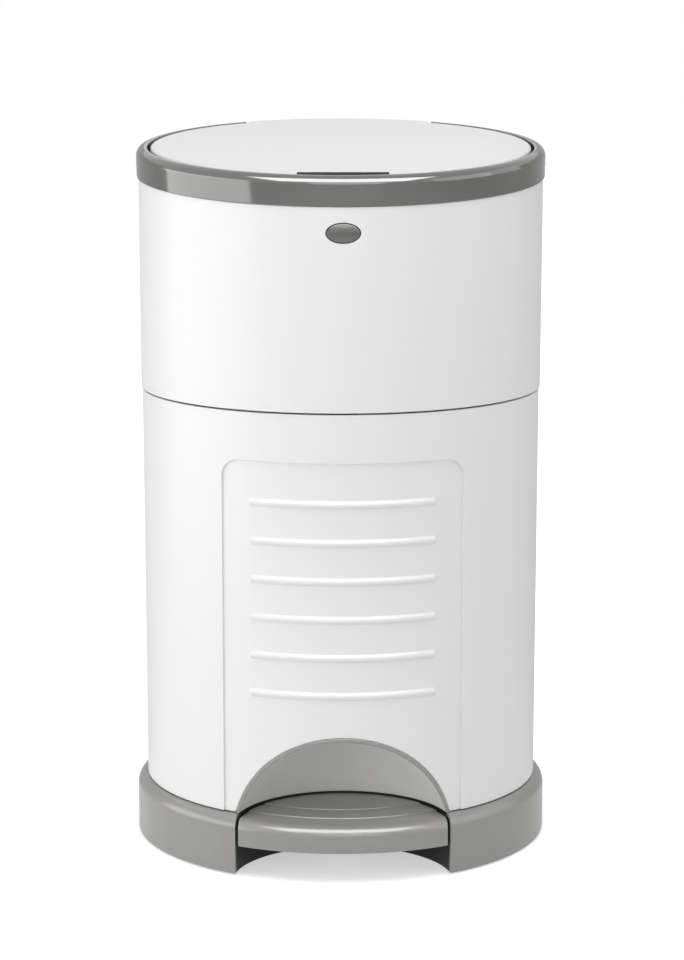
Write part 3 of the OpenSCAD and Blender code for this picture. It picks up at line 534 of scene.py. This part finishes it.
class NAPPYBIN_OT_inside(Operator):
    """Gives the inner pieces their finishes"""

    bl_idname = "nappybin.inside"
    bl_label = "Inside"

    def execute(self, context):
        finished_copies(settings()[1].small_edge, {
            "button": "rim", "hopper": "trim", "flap_left": "trim", "flap_right": "trim",
            "plunger": "trim", "hinge_bracket": "trim", "latch_lever": "trim",
            "cutter_holder": "shell", "refill_deck": "trim", "lid_crank": "steel",
            "pedal_lever": "steel",
        })
        finished_nodes({
            # The base plate's wall round the pedal notch is black as painted shade, where the notch
            # lies in shadow. The lid seal is black rubber, and its flat under the lid's finger notch is
            # also there as painted shade.
            "base_plate": "inner", "rod_channel": "inner", "lid_seal": "rubber",
            "plunger_skirt": "rubber", "rubber_feet": "rubber", "lower_push_rod": "trim",
            "upper_push_rod": "trim", "refill_cassette": "cassette", "pedal_pin": "steel",
            "cutter_blade": "steel", "top_hinge_pin": "steel", "flap_pins": "steel",
            "flap_spring_left": "steel", "flap_spring_right": "steel", "lid_hinge_pin": "steel",
            "latch_pin": "steel", "latch_spring": "steel",
        })
        spring = dressed(soften(copy_of("pedal_spring"), 0), "steel", "pedal_spring")
        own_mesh(spring)
        return {"FINISHED"}


# The size of each kind of screw's head, in millimetres, that its cross follows.
SCREW_HEADS = {
    "base_screws": 3.2, "pedal_screws": 2.4, "hopper_screws": 2.2, "lid_screws": 2.6,
    "crank_screws": 2.4, "plunger_screws": 2.4,
}


class NAPPYBIN_OT_screws(Operator):
    """Cuts cross recesses into the screws' heads"""

    bl_idname = "nappybin.screws"
    bl_label = "Screws"

    def execute(self, context):
        for node, head in SCREW_HEADS.items():
            screws = cross_recesses(copy_of(node), 1.3 * head * MM, 0.3 * head * MM, 0.9 * MM)
            dressed(soften(screws, 0), "steel", node)
        return {"FINISHED"}


PLEATS = 17  # folds of film in the pack
PACK_WIDTH = 11.0  # from the inside of the pack to its outside, in millimetres


class NAPPYBIN_OT_refill(Operator):
    """Makes the pleated film in its ring and the bag that hangs from it"""

    bl_idname = "nappybin.refill"
    bl_label = "Film and bag"

    def execute(self, context):
        sizes = settings()[1]
        low, high = (1000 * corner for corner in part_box("film_pack"))
        outer, inner, z0, z1 = high.x, high.x - PACK_WIDTH, low.z, high.z
        lift = (z1 - z0 - 1.6) / PLEATS

        def pack(turn, step):
            """A point on the pack: down its inside, out, up the pleats and back in."""
            a = 2 * math.pi * turn
            wall = [[inner, z1 - 0.4], [inner, z0], [outer - 1.2, z0]]
            for i in range(PLEATS):
                slip = 0.3 * math.sin(5 * a + 1.9 * i) + 0.2 * math.sin(9 * a - 2.7 * i)
                wall += [[outer - 0.55 + slip, z0 + (i + 0.5) * lift],
                         [outer - 1.9, z0 + (i + 1) * lift]]
            wall += [[outer - 3.5, z1], [inner, z1 - 0.4]]
            at = step * (len(wall) - 1)
            i = min(int(at), len(wall) - 2)
            r, z = (p + (q - p) * (at - i) for p, q in zip(wall[i], wall[i + 1]))
            return r * math.cos(a), r * math.sin(a), z

        film = lofted("film_pleats", 96, 2 * PLEATS + 4, pack)
        dressed(film, "film", "film_pack")

        low, high = (1000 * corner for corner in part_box("liner_bag"))
        lip, top = inner - 3.0, high.z
        # Radius and height, from the fold over the ring down to the gathered neck and the knot.
        route = [
            (lip + 9.2, top - 7.0), (lip + 6.5, top - 2.6), (lip + 3.6, top), (lip + 1.6, top - 0.1),
            (lip, top - 2.6), (lip, top - 16), (lip, top - 37), (lip + 3, top - 54),
            (lip + 4.4, top - 74), (lip + 4, top - 112), (lip + 1.5, top - 150),
            (lip - 7, top - 180), (lip - 24, top - 203), (lip - 45, low.z + 4),
            (18, low.z - 0.5), (7, low.z - 1.2), (3.2, low.z - 2.6), (4.6, low.z - 4.6),
            (3.0, low.z - 7), (0, low.z - 7.2),
        ]

        def bag(turn, step):
            """A point on the bag, which creases more the lower it hangs."""
            a = 2 * math.pi * turn
            r, z = along_path(route, step)
            loose = min(1.0, max(0.0, (top - 30 - z) / 140))
            depth = min(0.25 + 1000 * sizes.crease * loose, 0.16 * r)
            r += depth * (creases(turn, 2.2 * loose) - 0.55 * min(loose * 4, 1))
            z += 2.0 * loose * math.sin(3 * a + 1) * min(r / 40, 1)
            return r * math.cos(a), r * math.sin(a), z

        liner = lofted("bag_of_film", 240, 76, bag)
        wall = liner.modifiers.new("wall", "SOLIDIFY")
        wall.thickness, wall.offset = sizes.film_wall, -1
        apply_all(liner)
        dressed(liner, "film", "liner_bag")
        return {"FINISHED"}


# ---------- studio ----------
# Name, place, what it aims at, width, height in metres, and whether gloss shows it.
SOFT_BOXES = (
    ("key", (-1.28, -0.22, 0.27), (0, 0, 0.27), 1.5, 0.75, True),
    ("front", (0.1, -2.2, 0.85), (0, 0, 0.15), 1.6, 0.9, True),
    ("low_left", (-1.05, -1.0, 0.2), (0, -0.08, 0.05), 0.8, 0.35, False),
    ("right", (1.6, -0.6, 0.8), (0, 0, 0.25), 1.2, 1.1, True),
    ("top", (0, -0.5, 1.4), (0, -0.05, 0.3), 1.4, 0.6, False),
    ("back_right", (1.5, 0.3, 0.85), (0, 0, 0.25), 1.0, 0.9, True),
)

# The camera, fitted to the ellipses of the base, seam, rim and lid in the photo.
CAMERA_PLACE = (-0.021, -1.724, 0.527)
DEGREES_DOWN, DEGREES_LEFT = 10.18, -0.7
LENS_MM, SENSOR_MM, SHIFT = 107.0, 36.0, 0.00125

WHITE, BLACK = (1, 1, 1, 1), (0, 0, 0, 1)


class NAPPYBIN_OT_stage(Operator):
    """Sets the floor, the soft boxes and the camera"""

    bl_idname = "nappybin.stage"
    bl_label = "Stage"

    def execute(self, context):
        studio = settings()[2]
        pale_floor(studio.floor_lift)
        side_card("card_left", -1)
        side_card("card_right", 1)
        top_card("card_top", studio.sheen)
        even_light(context.scene, studio.ambient)
        for name, *how in SOFT_BOXES:
            soft_box(name, getattr(studio, name), *how)
        photo_camera(context.scene)
        return {"FINISHED"}


def seen_rays(tree, seen, mirrored):
    """seen for camera rays, mirrored for glossy and transmission rays, and 0 for the rest."""
    rays = add(tree, "ShaderNodeLightPath").outputs
    gloss = reckoned(tree, "MAXIMUM", rays["Is Glossy Ray"], rays["Is Transmission Ray"])
    mirror = reckoned(tree, "MULTIPLY", gloss, mirrored)
    return reckoned(tree, "MULTIPLY_ADD", rays["Is Camera Ray"], seen, mirror)


def pale_floor(shadow_lift):
    """A pale matt floor, lifted by shadow_lift at the bin's foot and to white further out."""
    bpy.ops.object.select_all(action="DESELECT")
    bpy.ops.mesh.primitive_plane_add(size=12, location=(0, 0, 0))
    floor = bpy.context.object
    floor.name = "floor"
    material, tree, principled = new_material("pale floor")
    noise = add(tree, "ShaderNodeTexNoise", {"Vector": object_point(tree), "Scale": 40.0})
    tone = add(tree, "ShaderNodeMapRange",
               {"Value": noise.outputs["Fac"], "To Min": 0.79, "To Max": 0.81})
    tree.links.new(tone.outputs[0], principled.inputs["Base Color"])
    principled.inputs["Roughness"].default_value = 0.9
    principled.inputs["Specular IOR Level"].default_value = 0.0
    principled.inputs["Emission Color"].default_value = WHITE
    centre = add(tree, "ShaderNodeVectorMath", {0: object_point(tree)}, operation="LENGTH")
    lift = add(tree, "ShaderNodeMapRange", {
        "Value": centre.outputs["Value"], "From Min": 0.125, "From Max": 0.3, "To Min": shadow_lift,
    })
    tree.links.new(seen_rays(tree, lift.outputs[0], 0.25), principled.inputs["Emission Strength"])
    floor.data.materials.append(material)


def even_light(scene, ambient):
    """A world that the camera and gloss see white, and that lights the bin with ambient."""
    world = bpy.data.worlds.new("studio")
    scene.world = world
    world.use_nodes = True
    tree = world.node_tree
    background = tree.nodes["Background"]
    background.inputs["Color"].default_value = WHITE
    lift = seen_rays(tree, 1.0 - ambient, 1.0 - ambient)
    tree.links.new(reckoned(tree, "ADD", lift, ambient), background.inputs["Strength"])


def soft_box(name, watts, place, target, width, height, glossy):
    """A rectangular lamp at its place, aimed at its target."""
    data = bpy.data.lights.new(name, "AREA")
    data.shape, data.size, data.size_y, data.energy = "RECTANGLE", width, height, watts
    lamp = bpy.data.objects.new(name, data)
    bpy.context.scene.collection.objects.link(lamp)
    lamp.location = place
    lamp.rotation_euler = (Vector(target) - Vector(place)).to_track_quat("-Z", "Y").to_euler()
    lamp.visible_glossy = glossy


def photo_camera(scene):
    """The photo's camera, and colours shown as they are."""
    lens = bpy.data.cameras.new("camera")
    lens.lens, lens.sensor_width, lens.shift_x = LENS_MM, SENSOR_MM, SHIFT
    lens.clip_start, lens.clip_end = 0.05, 60
    camera = bpy.data.objects.new("camera", lens)
    scene.collection.objects.link(camera)
    camera.location = CAMERA_PLACE
    camera.rotation_euler = (math.radians(90 - DEGREES_DOWN), 0, math.radians(DEGREES_LEFT))
    scene.camera = camera
    scene.view_settings.view_transform = "Standard"


def plain_card(name, corners, strength):
    """A flat card that only gloss sees, a little cloudy across."""
    bpy.ops.object.select_all(action="DESELECT")
    bpy.ops.mesh.primitive_plane_add(size=1)
    card = bpy.context.object
    card.name = card.data.name = name
    for vertex, corner in zip(card.data.vertices, corners):
        vertex.co = corner
    material, tree, principled = new_material(name)
    tone = add(tree, "ShaderNodeTexNoise", {"Vector": object_point(tree)})
    cloudy = add(tree, "ShaderNodeMapRange", {
        "Value": tone.outputs["Fac"], "To Min": 0.96 * strength, "To Max": 1.04 * strength,
    })
    tree.links.new(cloudy.outputs[0], principled.inputs["Emission Strength"])
    principled.inputs["Base Color"].default_value = BLACK
    principled.inputs["Specular IOR Level"].default_value = 0.0
    principled.inputs["Emission Color"].default_value = WHITE
    card.data.materials.append(material)
    card.visible_camera = card.visible_diffuse = False
    card.visible_shadow = card.visible_transmission = False
    return card


def side_card(name, side):
    """A grey card behind one side of the bin, along the floor and up, that darkens its gloss."""
    near, far, wide = (
        Vector((x * side, y, 0.002)) for x, y in ((0.13, 0.12), (0.25, 1.7), (1.35, 0.6))
    )
    card = plain_card(name, (near, near + Vector((0.02 * side, -0.02, 0)), far, wide), 0.55)
    bpy.ops.object.mode_set(mode="EDIT")
    bpy.ops.mesh.select_all(action="DESELECT")
    bpy.ops.object.mode_set(mode="OBJECT")
    for edge in card.data.edges:
        edge.select = set(edge.vertices) == {2, 3}
    bpy.ops.object.mode_set(mode="EDIT")
    bpy.ops.mesh.select_mode(type="EDGE")
    bpy.ops.mesh.extrude_region_move(TRANSFORM_OT_translate={"value": (0, 0, 0.9)})
    bpy.ops.object.mode_set(mode="OBJECT")


def top_card(name, strength):
    """A white card above and in front of the bin, that draws a bright band along the roundings."""
    corners = [Vector((x, y, z)) for y, z in ((-1.2, 1.0), (-0.4, 1.4)) for x in (-0.8, 0.8)]
    plain_card(name, corners, strength)


class NAPPYBIN_PT_panel(Panel):
    """Lists the steps that dress the bin"""

    bl_idname = "NAPPYBIN_PT_panel"
    bl_label = "Nappy bin"
    bl_space_type = "VIEW_3D"
    bl_region_type = "UI"
    bl_category = "Nappy bin"

    def draw(self, context):
        for group in (context.scene.bin_colours, context.scene.bin_sizes, context.scene.bin_studio):
            box = self.layout.box()
            for name in type(group).__annotations__:
                box.prop(group, name)
        for step in STEPS:
            self.layout.operator(step.bl_idname)


STEPS = (
    NAPPYBIN_OT_shells, NAPPYBIN_OT_lid, NAPPYBIN_OT_base, NAPPYBIN_OT_inside,
    NAPPYBIN_OT_screws, NAPPYBIN_OT_refill, NAPPYBIN_OT_stage,
)
GROUPS = {"bin_colours": BinColours, "bin_sizes": BinSizes, "bin_studio": StudioSettings}


def register():
    """Adds the settings, the steps and the panel to Blender."""
    for item in (*GROUPS.values(), *STEPS, NAPPYBIN_PT_panel):
        bpy.utils.register_class(item)
    for name, group in GROUPS.items():
        setattr(bpy.types.Scene, name, PointerProperty(type=group))


def unregister():
    """Takes them out again."""
    for name in GROUPS:
        delattr(bpy.types.Scene, name)
    for item in (NAPPYBIN_PT_panel, *reversed(STEPS), *reversed(GROUPS.values())):
        bpy.utils.unregister_class(item)


def main():
    """Runs every step."""
    register()
    for step in STEPS:
        space, name = step.bl_idname.split(".")
        getattr(getattr(bpy.ops, space), name)()


if __name__ == "__main__":
    main()
